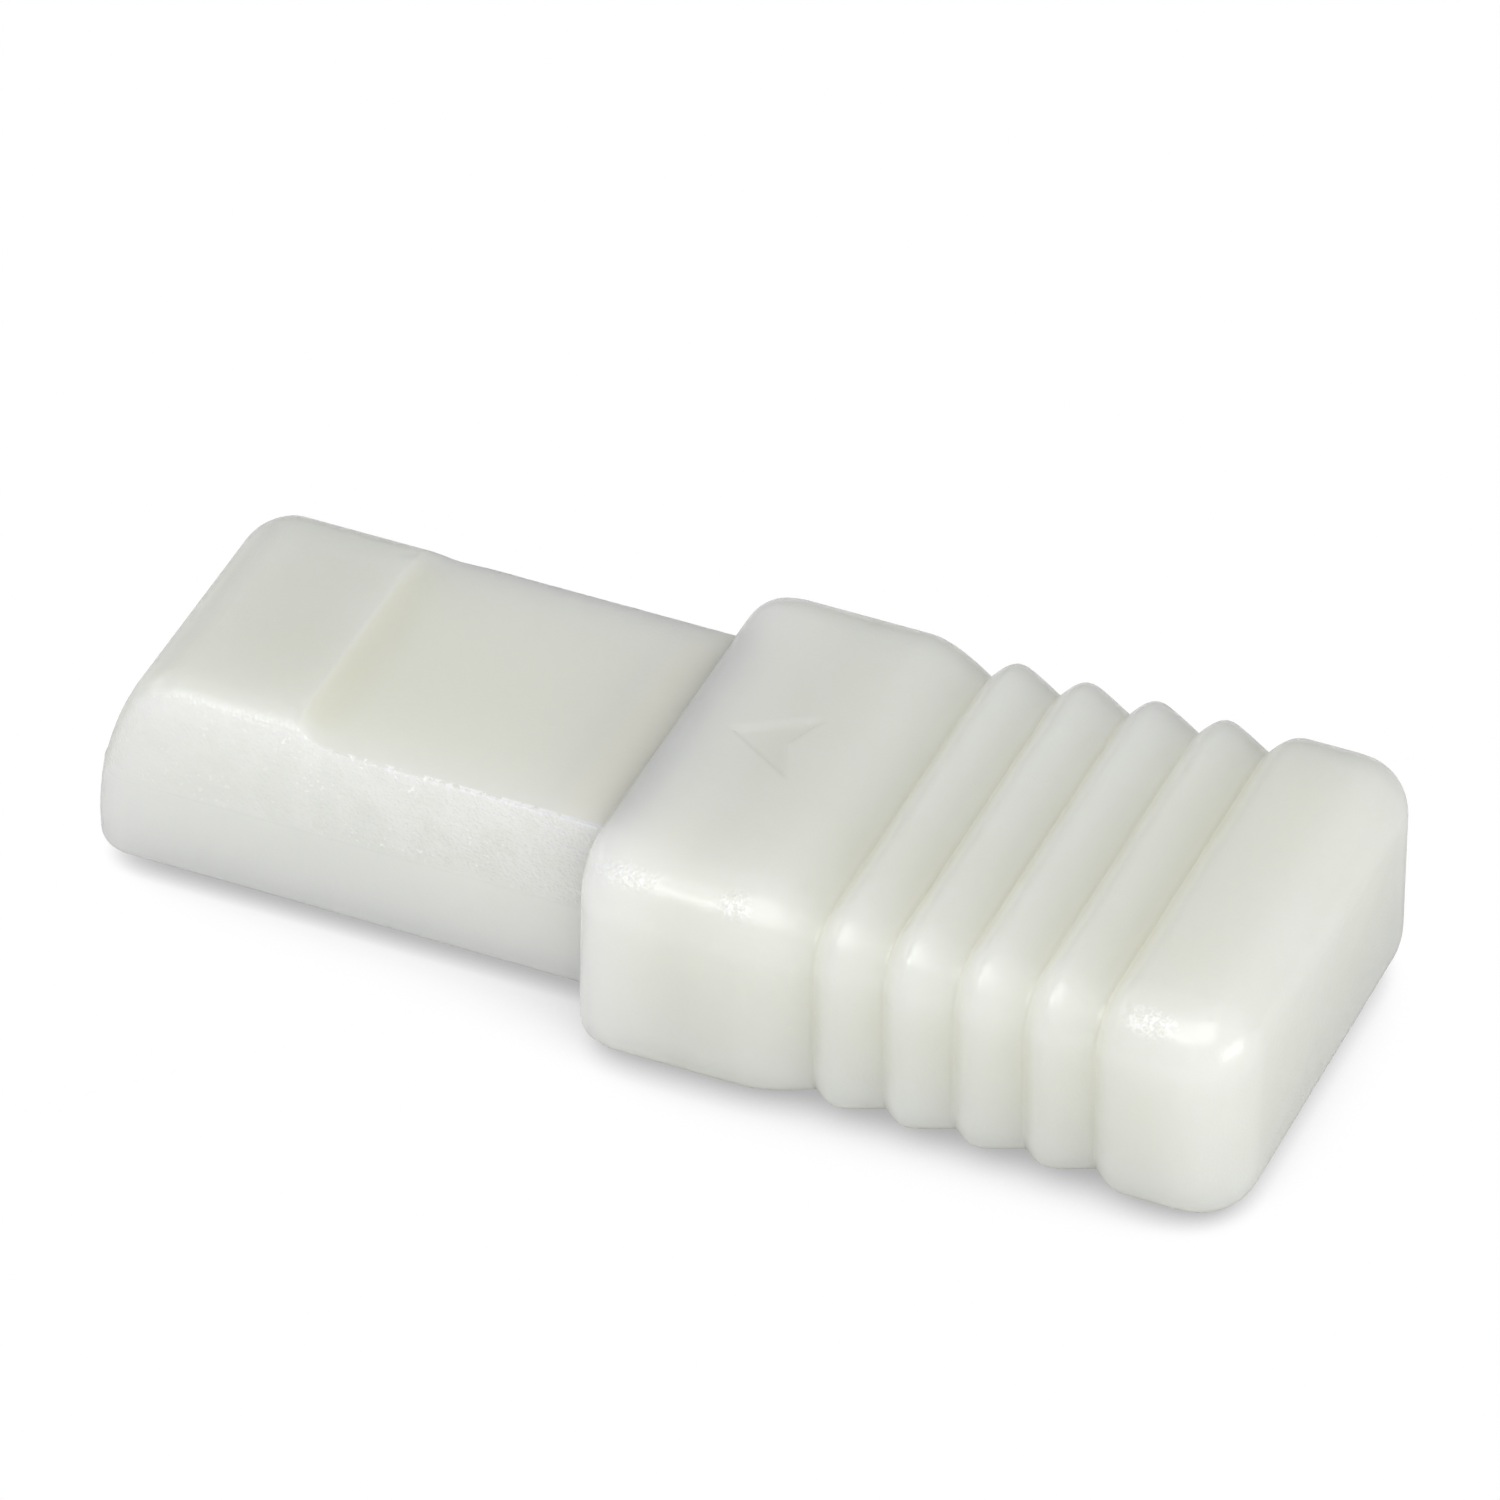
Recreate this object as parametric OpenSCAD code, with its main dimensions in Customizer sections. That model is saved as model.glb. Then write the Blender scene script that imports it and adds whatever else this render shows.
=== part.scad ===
// Ribbed moulded plug: a stepped tongue moulded first, and a collar with a
// ribbed pull grip moulded around its hidden root.
// X runs from the tongue tip to the grip end, Z is up, all sizes in mm.
// The plug rests on z = 0 and is centred on the X and Y axes.

/* [Tongue] */
// Length of tongue standing out of the collar
tongue_length = 19; // [14:0.1:26]
// Width of the tongue, measured at the parting line
tongue_width = 11.3; // [9:0.1:16]
// Thickness of the tongue at the end pad
tongue_thickness = 7.86; // [6:0.01:9.5]
// Radius of the two upright corners at the tip
tip_corner_radius = 1.4; // [0.8:0.1:3]
// Radius of the rounded edge around the top of the end pad
pad_edge_radius = 1.2; // [0.8:0.1:2]
// Radius of the bulged end face, seen from the side
tip_bulge_radius = 12; // [9:0.5:30]
// Height above the underside where the tip reaches furthest
tip_bulge_height = 1; // [0.8:0.1:1.8]
// Radius of the edge around the underside
base_edge_radius = 0.55; // [0.2:0.05:0.7]
// How far the flanks lean in between the parting line and the pad edge
flank_draft = 0.08; // [0:0.01:0.3]
// Height of the parting line above the underside of the tongue
parting_height = 3.56; // [2:0.01:4]
// How far the parting line stands proud
parting_bead = 0.04; // [0.01:0.01:0.1]

/* [Recess] */
// Length of the end pad, from the tip to the foot of the step
pad_length = 7.8; // [4:0.1:10]
// Depth of the recess behind the end pad
recess_depth = 0.65; // [0.3:0.05:0.9]
// Length of the sloping step down into the recess
step_run = 0.25; // [0.1:0.05:1]
// Length over which the rounded pad edge fades into the crisp recess edge
fade_length = 1.6; // [0.5:0.1:3]

/* [Collar] */
// Length of the collar, from the shoulder to the first groove
collar_length = 8.7; // [6:0.1:12]
// How far the collar stands out beyond each flank of the tongue
collar_side_margin = 3.05; // [2:0.05:5]
// How far the collar top stands above the recess floor
collar_top_margin = 0.83; // [0.7:0.01:2]
// How far the tongue underside is raised above the collar underside
tongue_lift = 0.66; // [0.6:0.01:2]
// Radius of the four long edges of the collar and grip
long_edge_radius = 2.3; // [1.8:0.1:3]
// Radius of the two upright corners of the shoulder
shoulder_corner_radius = 1.7; // [1:0.1:2.4]
// Radius of the top edge of the shoulder
shoulder_top_radius = 0.9; // [0.4:0.1:2]
// Radius of the bottom edge of the shoulder
shoulder_base_radius = 0.7; // [0.4:0.1:1.2]

/* [Grip] */
// Number of grooves, one more than the ribs between them
groove_count = 5; // [2:1:7]
// Spacing of the grooves
rib_pitch = 2.5; // [2:0.1:3.5]
// How far the rib crests lie inside the collar surface
crest_inset = 0.18; // [0.1:0.01:0.3]
// How far the groove bottoms lie inside the top of the collar
groove_top_inset = 0.9; // [0.5:0.05:1.1]
// The same at the two sides
groove_side_inset = 0.75; // [0.5:0.05:1.1]
// The same underneath, where the ribs are shallower
groove_base_inset = 0.5; // [0.4:0.05:0.9]
// Share of the pitch taken by the steep flank that faces the tongue
steep_share = 0.28; // [0.2:0.02:0.5]
// Length of the plain block behind the last groove
end_length = 5.3; // [4:0.1:9]
// How far the top of the end block lies below the collar top
end_top_inset = 0.12; // [0:0.01:0.3]
// How far the sides of the end block lie inside the collar sides
end_side_inset = 0.05; // [0:0.01:0.3]
// Radius of the two upright corners of the end block
end_corner_radius = 2.4; // [1:0.1:2.6]
// Radius of the top and bottom edges of the end face
end_edge_radius = 1.8; // [0.8:0.1:2.2]

/* [Hidden root] */
// Depth of full tongue section sunk into the collar
seat_depth = 0.6; // [0.3:0.1:1]
// Length of the root behind the seat
root_length = 14; // [10:0.5:15]
// Width of the root
root_width = 8; // [6:0.5:9]
// Thickness of the root
root_thickness = 3.6; // [2.5:0.1:4]
// Length of each of the two windows that lock the root into the grip
window_length = 4; // [3.5:0.1:4.5]
// Width of each window
window_width = 3; // [2:0.1:3.2]
// Room left for the bond between the two mouldings
bond_line = 0.02; // [0.01:0.01:0.05]

/* [Direction arrow] */
// Length of the arrowhead sunk into the collar top, pointing at the tongue
arrow_length = 2.6; // [1.5:0.1:3.5]
// Width of the arrowhead
arrow_width = 3.2; // [2:0.1:6]
// Depth of the arrowhead
arrow_depth = 0.12; // [0.05:0.01:0.3]

/* [Hidden] */

collar_width = tongue_width + 2 * collar_side_margin;
collar_height = tongue_lift + tongue_thickness - recess_depth + collar_top_margin;
total_length = tongue_length + collar_length + (groove_count - 1) * rib_pitch + end_length;
tip_x = -total_length / 2;
shoulder_x = tip_x + tongue_length;
first_groove_x = shoulder_x + collar_length;
last_groove_x = first_groove_x + (groove_count - 1) * rib_pitch;
end_x = total_length / 2;

foot_x = tip_x + pad_length;
seat_x = shoulder_x + seat_depth;
root_z = tongue_lift + tongue_thickness / 2 - root_thickness / 2;
pad_z = tongue_lift + tongue_thickness;
parting_z = tongue_lift + parting_height;

steep_run = steep_share * rib_pitch;
gentle_run = rib_pitch - steep_run;
// the collar falls to the first groove at the same angle as every rib
flank_run = gentle_run * groove_side_inset / (groove_side_inset - crest_inset);
crest_round = 0.25 * steep_run;
groove = [groove_side_inset, groove_top_inset, groove_base_inset];

corner_steps = 8;
edge_steps = 6;

// How far a rounded edge of radius r has come in at a distance d from its end
function edge_inset(r, d) = d >= r ? 0 : r - sqrt(r * r - (r - d) * (r - d));

// Points round a corner, from angle a, in the plane of the ring
function corner(cx, cy, r, a) =
    [for (i = [0:corner_steps])
        let (t = a + 90 * i / corner_steps) [cx + r * cos(t), cy + r * sin(t)]];

// Cross section of the grip at x, come in by each amount given
function grip_ring(x, side, top, bottom) =
    let (hw = collar_width / 2 - side,
         z0 = bottom,
         z1 = collar_height - top,
         r = max(0.6, long_edge_radius - (side + (top + bottom) / 2) / 2))
    [for (p = concat(corner(hw - r, z1 - r, r, 0),
                     corner(-hw + r, z1 - r, r, 90),
                     corner(-hw + r, z0 + r, r, 180),
                     corner(hw - r, z0 + r, r, 270))) [x, p[0], p[1]]];

// How far the bulged end face has fallen back at height z
function bulge_inset(z) =
    let (d = z - tongue_lift - tip_bulge_height)
    tip_bulge_radius - sqrt(tip_bulge_radius * tip_bulge_radius - d * d);

// Plan outline of the tongue at height z, come in by the amount given
function tongue_ring(z, inset, grow) =
    let (hw = tongue_width / 2 - inset + grow,
         x0 = tip_x + bulge_inset(z) + inset - grow,
         r = max(0.4, tip_corner_radius - inset))
    [for (p = concat([[seat_x + grow, -hw], [seat_x + grow, hw]],
                     corner(x0 + r, hw - r, r, 90),
                     corner(x0 + r, -hw + r, r, 180))) [p[0], p[1], z]];

// Skin over a row of rings that all have the same number of points
module loft(rings) {
    n = len(rings[0]);
    m = len(rings);
    points = [for (ring = rings) for (p = ring) p];
    polyhedron(
        points = points,
        faces = concat(
            [[for (i = [0:n - 1]) i]],
            [for (j = [0:m - 2]) for (i = [0:n - 1])
                [j * n + i, (j + 1) * n + i,
                 (j + 1) * n + (i + 1) % n, j * n + (i + 1) % n]],
            [[for (i = [0:n - 1]) m * n - 1 - i]]),
        convexity = 6);
}

// Rounded bar with its parting line, before the recess is cut
module tongue_bar(grow = 0) {
    straight_top = pad_z - pad_edge_radius;
    levels = concat(
        [for (i = [0:edge_steps])
            let (a = 90 * i / edge_steps)
            [tongue_lift - grow + base_edge_radius * (1 - cos(a)),
             base_edge_radius * (1 - sin(a))]],
        [[tongue_lift + tip_bulge_height, 0],
         [parting_z - 2 * parting_bead, 0],
         [parting_z, -parting_bead],
         [parting_z + 2 * parting_bead, 0]],
        [for (i = [0:edge_steps])
            let (a = 90 * i / edge_steps)
            [straight_top + grow + pad_edge_radius * sin(a),
             flank_draft + pad_edge_radius * (1 - cos(a))]]);
    loft([for (l = levels) tongue_ring(l[0], l[1], grow)]);
}

// Bar with crisp upper edges, which takes over behind the end pad
module recess_bar(grow = 0) {
    floor_z = pad_z - recess_depth;
    hw = tongue_width / 2 + grow;
    loft([for (s = [[foot_x, pad_edge_radius / 4], [foot_x + fade_length, 0], [seat_x + grow, 0]])
        [[s[0], -hw, parting_z], [s[0], hw, parting_z],
         [s[0], hw - flank_draft - s[1], floor_z + grow],
         [s[0], -hw + flank_draft + s[1], floor_z + grow]]]);
}

// Everything above the recess floor, from the step to beyond the shoulder
module recess_cut(grow = 0) {
    floor_z = pad_z - recess_depth + grow;
    translate([0, collar_width / 2, 0])
        rotate([90, 0, 0])
            linear_extrude(collar_width)
                polygon([[foot_x, floor_z],
                         [seat_x + 1, floor_z],
                         [seat_x + 1, pad_z + 1],
                         [foot_x - step_run, pad_z + 1],
                         [foot_x - step_run, pad_z]]);
}

// Flat root with two round-ended windows across it
module root(grow = 0) {
    translate([seat_x - 0.2, -root_width / 2 - grow, root_z - grow])
        difference() {
            cube([root_length + 0.2 + grow,
                  root_width + 2 * grow,
                  root_thickness + 2 * grow]);
            for (i = [0:1])
                translate([0.2 + root_length * (i + 0.5) / 2, root_width / 2 + grow, -1])
                    window(root_thickness + 2, grow);
        }
}

module window(height, grow) {
    r = window_width / 2 - grow;
    straight = window_length - window_width;
    for (side = [-1, 1])
        translate([side * straight / 2, 0, 0])
            cylinder(r = r, h = height, $fn = 48);
    translate([-straight / 2, -r, 0])
        cube([straight, 2 * r, height]);
}

module tongue_shape(grow = 0) {
    difference() {
        tongue_bar(grow);
        recess_cut(grow);
    }
    recess_bar(grow);
    root(grow);
}

// Stations of the grip: x, then how far the sides, top and bottom come in
function shoulder_stations() =
    [for (i = [0:edge_steps])
        let (d = shoulder_corner_radius * (1 - cos(90 * i / edge_steps)))
        [shoulder_x + d,
         edge_inset(shoulder_corner_radius, d),
         edge_inset(shoulder_top_radius, d),
         edge_inset(shoulder_base_radius, d)]];

// One groove and the rounded crest behind it: the share of the groove that
// is left at each station, on the sides, the top and underneath
function groove_stations(x) =
    [for (s = [[0, 1],
               [steep_run - crest_round, 0.2],
               [steep_run, 0],
               [steep_run + crest_round, 0.02],
               [steep_run + 2 * crest_round, 0.08]])
        [x + s[0], for (g = groove) crest_inset + s[1] * (g - crest_inset)]];

function end_stations() =
    concat(
        [[last_groove_x, groove_side_inset, groove_top_inset, groove_base_inset],
         [last_groove_x + steep_run - crest_round,
          end_side_inset + 0.25 * (groove_side_inset - end_side_inset),
          end_top_inset + 0.25 * (groove_top_inset - end_top_inset),
          0.25 * groove_base_inset],
         [last_groove_x + steep_run + crest_round, end_side_inset, end_top_inset, 0]],
        [for (i = [edge_steps:-1:0])
            let (d = end_corner_radius * (1 - cos(90 * i / edge_steps)))
            [end_x - d,
             end_side_inset + edge_inset(end_corner_radius, d),
             end_top_inset + edge_inset(end_edge_radius, d),
             edge_inset(end_edge_radius, d)]]);

module grip_body() {
    stations = concat(
        shoulder_stations(),
        [for (s = [[1, 0], [0.66, 0.22], [0.33, 0.58]])
            [first_groove_x - s[0] * flank_run, for (g = groove) s[1] * g]],
        [for (k = [0:groove_count - 2])
            for (s = groove_stations(first_groove_x + k * rib_pitch)) s],
        end_stations());
    loft([for (s = stations) grip_ring(s[0], s[1], s[2], s[3])]);
}

module arrow_cut() {
    centre_x = (shoulder_x + shoulder_top_radius + first_groove_x - flank_run) / 2;
    translate([centre_x, 0, collar_height - arrow_depth])
        linear_extrude(1)
            polygon([[-arrow_length / 2, 0],
                     [arrow_length / 2, -arrow_width / 2],
                     [arrow_length / 4, 0],
                     [arrow_length / 2, arrow_width / 2]]);
}

module tongue() {
    color([0.86, 0.86, 0.82])
        tongue_shape();
}

module ribbed_grip() {
    color([0.84, 0.85, 0.80])
        difference() {
            grip_body();
            tongue_shape(bond_line);
            arrow_cut();
        }
}

tongue();
ribbed_grip();
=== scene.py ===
import math

import bmesh
import bpy
import numpy as np
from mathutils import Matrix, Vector, noise


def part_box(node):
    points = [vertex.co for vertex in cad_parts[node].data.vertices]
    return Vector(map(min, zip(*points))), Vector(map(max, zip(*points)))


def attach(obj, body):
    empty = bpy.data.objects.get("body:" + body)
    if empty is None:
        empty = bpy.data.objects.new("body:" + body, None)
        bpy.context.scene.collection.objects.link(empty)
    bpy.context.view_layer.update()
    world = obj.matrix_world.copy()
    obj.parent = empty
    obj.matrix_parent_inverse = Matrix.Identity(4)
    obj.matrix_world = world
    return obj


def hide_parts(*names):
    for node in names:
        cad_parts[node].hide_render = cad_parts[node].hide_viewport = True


# a ribbed moulded plug: a stepped tongue seated in a ribbed grip; the meshes are worked out
# in millimetres and turned into metres when they are complete
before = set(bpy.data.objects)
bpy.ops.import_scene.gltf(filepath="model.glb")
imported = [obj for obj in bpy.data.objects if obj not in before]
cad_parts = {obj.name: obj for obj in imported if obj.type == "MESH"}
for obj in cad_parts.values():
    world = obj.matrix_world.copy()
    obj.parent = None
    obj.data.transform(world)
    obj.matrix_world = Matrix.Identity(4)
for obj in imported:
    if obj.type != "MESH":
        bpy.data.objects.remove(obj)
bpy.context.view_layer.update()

mm = 0.001  # a millimetre in metres, for places and sizes in the materials


def nodeBox(name):
    # the lowest and highest corners of a node, in millimetres
    low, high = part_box(name)
    return [c * 1000 for c in low], [c * 1000 for c in high]


tongueLow, tongueHigh = nodeBox("tongue")
gripLow, gripHigh = nodeBox("ribbed_grip")


def smoothStep(value, start, end):
    t = np.clip((np.asarray(value, float) - start) / (end - start), 0, 1)
    return t * t * (3 - 2 * t)


def edgeInset(radius, distance):
    # how far a rounded edge has come in at a distance from its end
    reach = np.clip(radius - distance, 0, radius)
    return radius - np.sqrt(radius * radius - reach * reach)


def softened(x, values, spread):
    # blurs a profile along x, so that its creases and crests turn round
    step = x[1] - x[0]
    half = max(1, int(3 * spread / step))
    weights = np.exp(-0.5 * (np.arange(-half, half + 1) * step / spread) ** 2)
    padded = np.pad(values, half, mode="edge")
    return np.convolve(padded, weights / weights.sum(), mode="valid")


def newMesh(name, verts, faces):
    mesh = bpy.data.meshes.new(name)
    mesh.from_pydata([tuple(v) for v in verts], [], faces)
    shape = bmesh.new()
    shape.from_mesh(mesh)
    bmesh.ops.recalc_face_normals(shape, faces=shape.faces)
    shape.to_mesh(mesh)
    shape.free()
    piece = bpy.data.objects.new(name, mesh)
    bpy.context.scene.collection.objects.link(piece)
    return piece


def cutAway(piece, other):
    # cuts another closed mesh out of the piece and uses it up
    cut = piece.modifiers.new("cut", "BOOLEAN")
    cut.operation = "DIFFERENCE"
    cut.solver = "EXACT"
    cut.object = other
    bpy.context.view_layer.update()
    final = bpy.data.meshes.new_from_object(piece.evaluated_get(bpy.context.evaluated_depsgraph_get()))
    piece.modifiers.clear()
    bpy.data.objects.remove(other)
    # a cut numbers its corners in a new order on each run, so they are numbered again by the faces
    number = {}
    faces = [[number.setdefault(corner, len(number)) for corner in face.vertices]
             for face in final.polygons]
    piece.data = bpy.data.meshes.new(piece.name)
    piece.data.from_pydata([tuple(final.vertices[corner].co) for corner in number], [], faces)
    bpy.data.meshes.remove(final)


def finishMesh(piece, sharpAngle):
    # to metres, with smooth faces and sharp edges only at real corners
    mesh = piece.data
    coords = np.zeros(len(mesh.vertices) * 3)
    mesh.vertices.foreach_get("co", coords)
    mesh.vertices.foreach_set("co", coords / 1000)
    mesh.polygons.foreach_set("use_smooth", [True] * len(mesh.polygons))
    mesh.set_sharp_from_angle(angle=math.radians(sharpAngle))
    mesh.update()


# tongue: a plain bar with an end pad and a recess, seated a little way into the collar
tongueShape = {
    "tipCornerRadius": 1.4,      # upright corners at the tip
    "padEdgeRadius": 1.2,        # rounded edge around the end pad
    "baseEdgeRadius": 0.55,
    "bulgeRadius": 12.5,         # side view of the end face
    "bulgeHeight": 1.0,
    "flankDraft": 0.08,
    "partingHeight": 3.56,
    "partingBead": 0.04,         # how far the parting line may stand proud
    "beadShare": 0.5,            # and how much of that it does
    "partingStep": 0.025,        # mismatch of the two mould halves above it
    "padLength": 7.8,
    "recessDepth": 0.65,
    "stepStart": -0.05,          # where the pad ends, from the foot of the step
    "stepRun": 0.4,              # how slowly the step then runs out on the recess floor
    "stepSoftness": 0.035,
    "edgeStart": -0.35,          # beside the two flanks the step runs out gently instead
    "edgeRun": 0.9,
    "edgeSoftness": 0.3,
    "edgeReach": 0.7,            # how far in from the flanks that goes
    "fadeLength": 1.6,           # pad edge turning into the crisp recess edge
    "arrisRadius": 0.16,
    "arrisBurr": 0.018,          # unevenness of the crisp edge
    "seatDepth": 0.45,
    "bondLine": 0.02,
}


def tongueBar(name, grow):
    # grow makes the same bar a little larger, to cut its own pocket
    s = tongueShape
    tipX, underside, padZ = tongueLow[0], tongueLow[2], tongueHigh[2]
    halfWidth = tongueHigh[1] - s["partingBead"] + grow
    seatX = gripLow[0] + s["seatDepth"] + grow
    partingZ = underside + s["partingHeight"]
    footX = tipX + s["padLength"]
    radius, small = s["padEdgeRadius"], s["arrisRadius"]
    straightTop = padZ - radius
    draft = s["flankDraft"]

    # how deep the top lies below the pad along x, in the middle and beside the flanks
    fine = np.arange(tipX - 1, seatX + 1, 0.01)
    past = np.maximum(fine - footX - s["stepStart"], 0)
    drop = softened(fine, s["recessDepth"] * (1 - np.exp(-past / s["stepRun"])), s["stepSoftness"])
    gentle = np.interp(fine, [footX + s["edgeStart"], footX + s["edgeRun"]], [0, s["recessDepth"]])
    gentle = softened(fine, gentle, s["edgeSoftness"])

    def roundAngle(x):
        # how far round the pad edge goes before the top cuts it off
        return np.arcsin(np.clip((radius - np.interp(x, fine, gentle)) / radius, 0, 1))

    def onRound(x, t):
        # a point on the pad edge, which flattens out beside the recess
        angle = t * roundAngle(x)
        faded = 1 - smoothStep(x, footX, footX + s["edgeRun"] + s["fadeLength"])
        fade = np.where(x > footX, faded, 1.0)
        return draft + radius * (1 - np.cos(angle)) * fade, straightTop + radius * np.sin(angle) + grow

    def onFillet(x, t):
        # a point on the small round between the pad edge and the top
        start = onRound(x, 1 - small / (radius * roundAngle(x)))
        corner = onRound(x, 1)
        end = (corner[0] + small, corner[1])
        return [(1 - t) ** 2 * a + 2 * t * (1 - t) * b + t * t * c for a, b, c in zip(start, corner, end)]

    # levels from the underside up the flank: inset and height
    base, step, bead = s["baseEdgeRadius"], s["partingStep"], s["partingBead"] * s["beadShare"]
    aboveBead = partingZ + 0.09
    levels = [(base * (1 - math.sin(a)), underside - grow + base * (1 - math.cos(a)))
              for a in np.radians(np.linspace(0, 90, 9))]
    levels += [(0, z) for z in np.linspace(underside + base, partingZ - 0.16, 8)[1:]]
    levels.append((0, underside + s["bulgeHeight"]))
    levels += [(-bead * share, partingZ + dz)
               for share, dz in ((0.0, -0.1), (0.5, -0.055), (1.0, -0.01), (0.8, 0.03))]
    levels.append((step, aboveBead))
    levels += [(step + (draft - step) * t, aboveBead + (straightTop - aboveBead) * t)
               for t in np.linspace(0, 1, 12)[1:]]
    levels.sort(key=lambda pair: pair[1])

    def flatLevel(inset, z):
        return lambda x: (np.full(np.shape(x), inset), np.full(np.shape(x), z))

    def roundLevel(t):
        return lambda x: onRound(x, t * (1 - small / (radius * roundAngle(x))))

    def filletLevel(t):
        return lambda x: onFillet(x, t)

    outline = [flatLevel(*level) for level in levels]
    outline += [roundLevel(t) for t in np.linspace(0, 1, 12)[1:-1]]
    outline += [filletLevel(t) for t in np.linspace(0, 1, 6)]

    # stations from the seat to fixedX, close together at the step; every level has its own from there
    fixedX = tipX + 5.0
    stations = np.concatenate([
        np.arange(fixedX, footX - 0.5, 0.2), np.arange(footX - 0.5, footX - 0.2, 0.05),
        np.arange(footX - 0.2, footX + 0.2, 0.025), np.arange(footX + 0.2, footX + 1.2, 0.06),
        np.arange(footX + 1.2, seatX - 0.1, 0.13), [seatX]])
    stations = np.unique(np.round(stations, 4))[::-1]
    arcSteps, tipSteps, frontSteps = 10, 20, 64

    # one ring for each level: near side, round the bulged tip, and back along the far side
    rings = []
    for level in outline:
        inset, z = (float(value) for value in level(np.array(tipX)))
        above = z - underside - s["bulgeHeight"]
        bulge = s["bulgeRadius"] - math.sqrt(s["bulgeRadius"] ** 2 - above * above)
        frontX = tipX + bulge + inset - grow
        corner = max(0.4, s["tipCornerRadius"] - inset)
        nearTip = np.linspace(fixedX, frontX + corner, tipSteps + 1)[1:]
        sideX = np.concatenate([stations, nearTip])
        sideInset, sideZ = level(sideX)
        near = np.stack([sideX, -(halfWidth - sideInset), sideZ], 1)
        arc = np.radians(np.linspace(0, 90, arcSteps + 1))[1:]
        cy = halfWidth - inset - corner
        nearArc = np.stack([frontX + corner - corner * np.sin(arc), -cy - corner * np.cos(arc),
                            np.full(arcSteps, z)], 1)
        front = np.stack([np.full(frontSteps - 1, frontX), np.linspace(-cy, cy, frontSteps + 1)[1:-1],
                          np.full(frontSteps - 1, z)], 1)
        half = np.concatenate([near, nearArc])
        rings.append(np.concatenate([half, front, half[::-1] * [1, -1, 1]]))
    rings = np.array(rings)
    levelCount, ringCount = rings.shape[:2]
    middle = len(stations) + tipSteps + arcSteps // 2

    # the crisp recess edge is a little uneven
    if not grow:
        for k in range(levelCount - 6, levelCount):
            for i in range(ringCount):
                x, y, z = rings[k, i]
                if x > footX + 0.3 and abs(y) > halfWidth - 0.5:
                    wave = noise.noise(Vector((x * 3.1, y, 4.7)))
                    wave += 0.6 * noise.noise(Vector((x * 8.3, y, 1.9)))
                    burr = s["arrisBurr"] * (0.3 + wave) * (k - levelCount + 7) / 6
                    rings[k, i, 1] -= math.copysign(1, y) * burr
    verts = [tuple(p) for p in rings.reshape(-1, 3)]
    faces = []
    for k in range(levelCount - 1):
        for i in range(ringCount - 1):
            a = k * ringCount + i
            faces.append([a, a + 1, a + 1 + ringCount, a + ringCount])

    def cap(level, top):
        # a grid between the two sides, bent to the front edge near the tip
        ring = rings[level]
        start, last = level * ringCount, ringCount - 1
        front = list(range(middle, last - middle + 1))
        frontY = ring[front, 1]
        across = (frontY - frontY[0]) / (frontY[-1] - frontY[0])
        grid = []
        for i in range(middle):
            nearP, farP = ring[i], ring[last - i]
            weight = max(0.0, 1 - (nearP[0] - ring[middle][0]) / 2.5) ** 2
            row = [start + i]
            for j in range(1, len(across) - 1):
                t = across[j]
                p = (1 - t) * nearP + t * farP
                chord = (1 - t) * ring[front[0]] + t * ring[front[-1]]
                p = p + weight * (ring[front[j]] - chord)
                if top:
                    inward = min(p[1] - nearP[1], farP[1] - p[1])
                    middleDrop = float(np.interp(p[0], fine, drop))
                    sideDrop = float(np.interp(p[0], fine, gentle))
                    share = float(smoothStep(inward, 0, s["edgeReach"]))
                    p[2] = nearP[2] + (sideDrop - middleDrop) * share
                row.append(len(verts))
                verts.append(tuple(p))
            row.append(start + last - i)
            grid.append(row)
        grid.append([start + f for f in front])
        for upper, lower in zip(grid, grid[1:]):
            for j in range(len(across) - 1):
                faces.append([upper[j], upper[j + 1], lower[j + 1], lower[j]])
        return grid[0]

    topRow = cap(levelCount - 1, True)
    baseRow = cap(0, False)

    # the seated end is closed by rows from the underside to the top
    across = np.linspace(0, 1, len(baseRow))[1:-1]
    rows = [baseRow]
    for k in range(1, levelCount - 1):
        near, far = rings[k, 0], rings[k, -1]
        first = len(verts)
        verts.extend(tuple(near + (far - near) * t) for t in across)
        rows.append([k * ringCount, *range(first, len(verts)), (k + 1) * ringCount - 1])
    rows.append(topRow)
    for lower, upper in zip(rows, rows[1:]):
        for j in range(len(baseRow) - 1):
            faces.append([lower[j], upper[j], upper[j + 1], lower[j + 1]])
    return newMesh(name, verts, faces)


tongue = tongueBar("mouldedTongue", 0)
pocket = tongueBar("pocket", tongueShape["bondLine"])
print("tongue built", len(tongue.data.polygons), "faces")


# grip: collar, ribs and end block in one moulding
gripShape = {
    "longEdgeRadius": 2.3,
    "shoulderCornerRadius": 1.7,
    "shoulderTopRadius": 0.9,
    "shoulderBaseRadius": 0.7,
    "faceLean": 0.2,             # how far the collar's front face leans back at its top
    "collarLength": 8.7,
    "grooveCount": 5,
    "ribPitch": 2.5,
    "crestInset": 0.15,
    "grooveTop": 0.93,           # groove depth on the top, sides and underneath
    "grooveSide": 0.78,
    "grooveBase": 0.5,
    "steepShare": 0.28,
    "crestSoftness": 0.2,        # how rounded the crests are
    "grooveSoftness": 0.05,      # and the groove bottoms
    "endTopInset": 0.12,
    "endSideInset": 0.05,
    "endCornerRadius": 2.4,
    "endEdgeRadius": 1.8,
    "endPillow": 0.06,           # how far the end face is domed
    "arrowLength": 2.6,
    "arrowWidth": 3.2,
    "arrowDepth": 0.12,
    "arrowSoftness": 0.3,
}


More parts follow.
